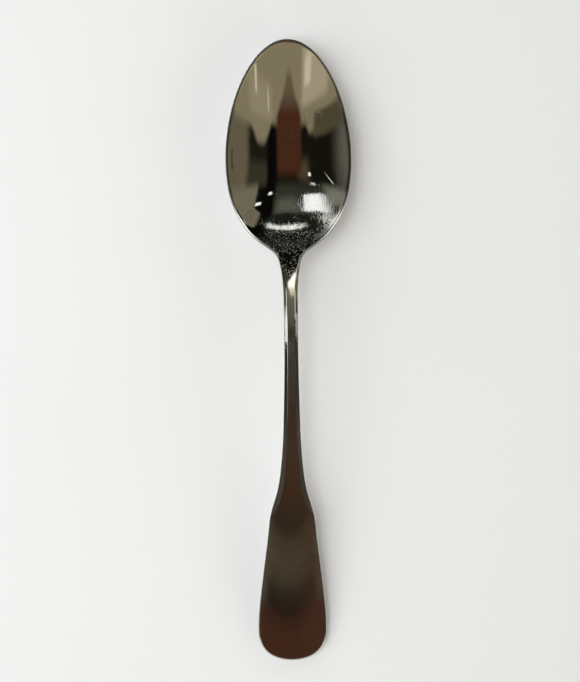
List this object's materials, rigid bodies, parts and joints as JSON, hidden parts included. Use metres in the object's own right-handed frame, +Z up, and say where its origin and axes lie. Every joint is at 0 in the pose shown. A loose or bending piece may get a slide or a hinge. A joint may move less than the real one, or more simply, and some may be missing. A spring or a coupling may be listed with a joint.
{
  "type": "tablespoon",
  "caption": "Fiddle-pattern tablespoon in polished steel: egg-shaped bowl with a rolled lip, arched bevelled stem and a broad rounded handle for eating and serving.",
  "frame": {"origin": "on the table plane under the middle of the spoon's bounding box, lying bowl up at rest on the back of the bowl and the handle end", "axes": "+X across the spoon, +Y along it from the handle end to the bowl tip, +Z up out of the open bowl"},
  "size_m": [0.0424, 0.21, 0.0201],
  "materials": {
    "steel": "mirror polished stainless steel, worn, with fine lengthwise scratches"
  },
  "bodies": {
    "root": {"bowl": "steel", "stem": "steel", "handle": "steel"}
  },
  "joints": []
}
